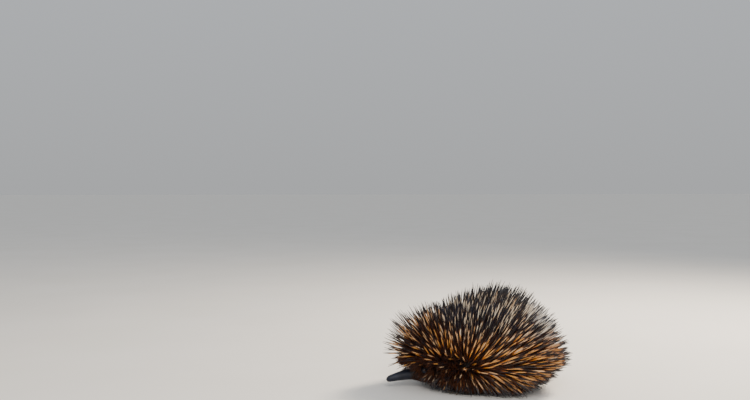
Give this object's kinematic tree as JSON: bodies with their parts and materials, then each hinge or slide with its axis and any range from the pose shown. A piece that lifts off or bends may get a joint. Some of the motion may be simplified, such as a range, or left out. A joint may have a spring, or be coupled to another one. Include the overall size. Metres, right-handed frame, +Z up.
{
  "type": "short-beaked echidna",
  "caption": "Still, life-size short-beaked echidna hunkered on its soles, spines fanned forward over the tucked head, slender beak showing.",
  "frame": {"origin": "on the floor under the centre of the whole animal's bounding box", "axes": "+Z up, -Y the way the beak points, +X the animal's left"},
  "size_m": [0.2672, 0.3688, 0.2003],
  "materials": {
    "spiny_coat": "cream to amber keratin spines with black tips over dark brown fur",
    "dark_fur": "short, dark brown-black fur",
    "beak_skin": "bare, leathery blue-black skin, satin",
    "eye": "small, dark, wet eye",
    "claw": "dark horn with paler, worn edges"
  },
  "bodies": {
    "root": {"head": "spiny_coat", "neck": "spiny_coat", "torso": "spiny_coat", "beak": "beak_skin", "tail": "spiny_coat", "eye_left": "eye", "ear_left": "dark_fur", "eye_right": "eye", "ear_right": "dark_fur", "leg_front_left": "dark_fur", "foot_front_left": "dark_fur", "claw_front_left_1": "claw", "claw_front_left_2": "claw", "claw_front_left_3": "claw", "claw_front_left_4": "claw", "claw_front_left_5": "claw", "leg_front_right": "dark_fur", "foot_front_right": "dark_fur", "claw_front_right_1": "claw", "claw_front_right_2": "claw", "claw_front_right_3": "claw", "claw_front_right_4": "claw", "claw_front_right_5": "claw", "leg_hind_left": "dark_fur", "foot_hind_left": "dark_fur", "claw_hind_left_1": "claw", "claw_hind_left_2": "claw", "claw_hind_left_3": "claw", "claw_hind_left_4": "claw", "claw_hind_left_5": "claw", "leg_hind_right": "dark_fur", "foot_hind_right": "dark_fur", "claw_hind_right_1": "claw", "claw_hind_right_2": "claw", "claw_hind_right_3": "claw", "claw_hind_right_4": "claw", "claw_hind_right_5": "claw"}
  },
  "joints": []
}
